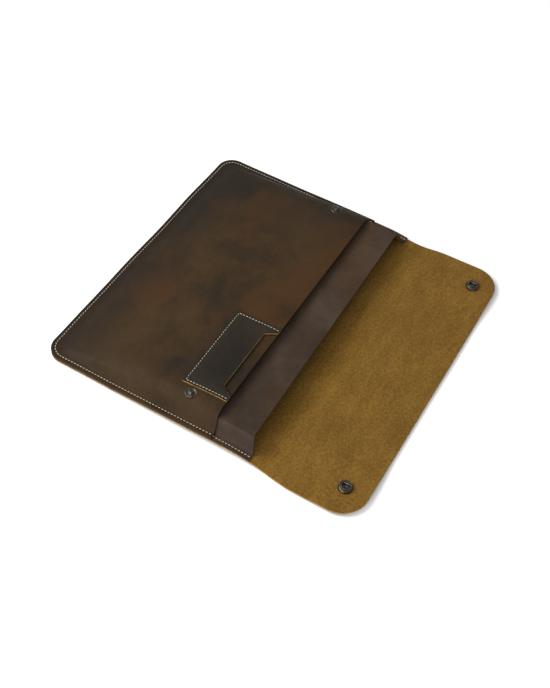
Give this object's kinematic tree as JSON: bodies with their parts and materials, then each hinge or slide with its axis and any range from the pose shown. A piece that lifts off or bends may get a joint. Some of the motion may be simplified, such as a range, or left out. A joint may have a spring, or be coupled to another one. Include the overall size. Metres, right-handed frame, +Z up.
{
  "type": "laptop sleeve",
  "caption": "Flat leather envelope with a laptop compartment, a document pocket, a card pocket and a fold-over flap held by press fasteners.",
  "frame": {"origin": "centre of the back panel's underside, on the surface the sleeve lies on", "axes": "+X across the sleeve to the side without the card pocket, -Y towards the mouth and the open flap, +Z up"},
  "size_m": [0.336, 0.3353, 0.0294],
  "materials": {
    "burnished_hide": "burnished grain outside, tan suede inside",
    "burnished_leather": "burnished pull-up, satin",
    "smooth_leather": "smooth grain, satin",
    "dark_leather": "dark smooth grain, satin",
    "antique_metal": "blackened antique plating",
    "spring_wire": "drawn wire",
    "thread": "waxed twisted thread"
  },
  "bodies": {
    "sleeve": {"back_panel": "burnished_hide", "divider_panel": "smooth_leather", "front_panel": "burnished_leather", "card_pocket": "dark_leather", "stud_left": "antique_metal", "stud_right": "antique_metal", "stud_post_left": "antique_metal", "stud_post_right": "antique_metal", "seam_thread": "thread", "seam_under_thread": "thread", "pocket_thread": "thread", "pocket_under_thread": "thread"},
    "fold": {"flap_fold": "burnished_hide"},
    "flap": {"flap": "burnished_hide", "cap_left": "antique_metal", "cap_right": "antique_metal", "socket_left": "antique_metal", "socket_right": "antique_metal", "socket_spring_left": "spring_wire", "socket_spring_right": "spring_wire"}
  },
  "joints": [
    {"name": "fold_bend", "type": "hinge", "parent": "sleeve", "child": "fold", "pos_m": [0, -0.11425, 0.0128], "axis": [-1, 0, 0], "range_deg": [0, 90]},
    {"name": "flap_bend", "type": "hinge", "parent": "fold", "child": "flap", "pos_m": [0, -0.12125, 0.0128], "axis": [-1, 0, 0], "range_deg": [0, 88.37]}
  ],
  "couplings": [
    {"joint": "flap_bend", "follows": "fold_bend", "ratio": 0.9819}
  ]
}
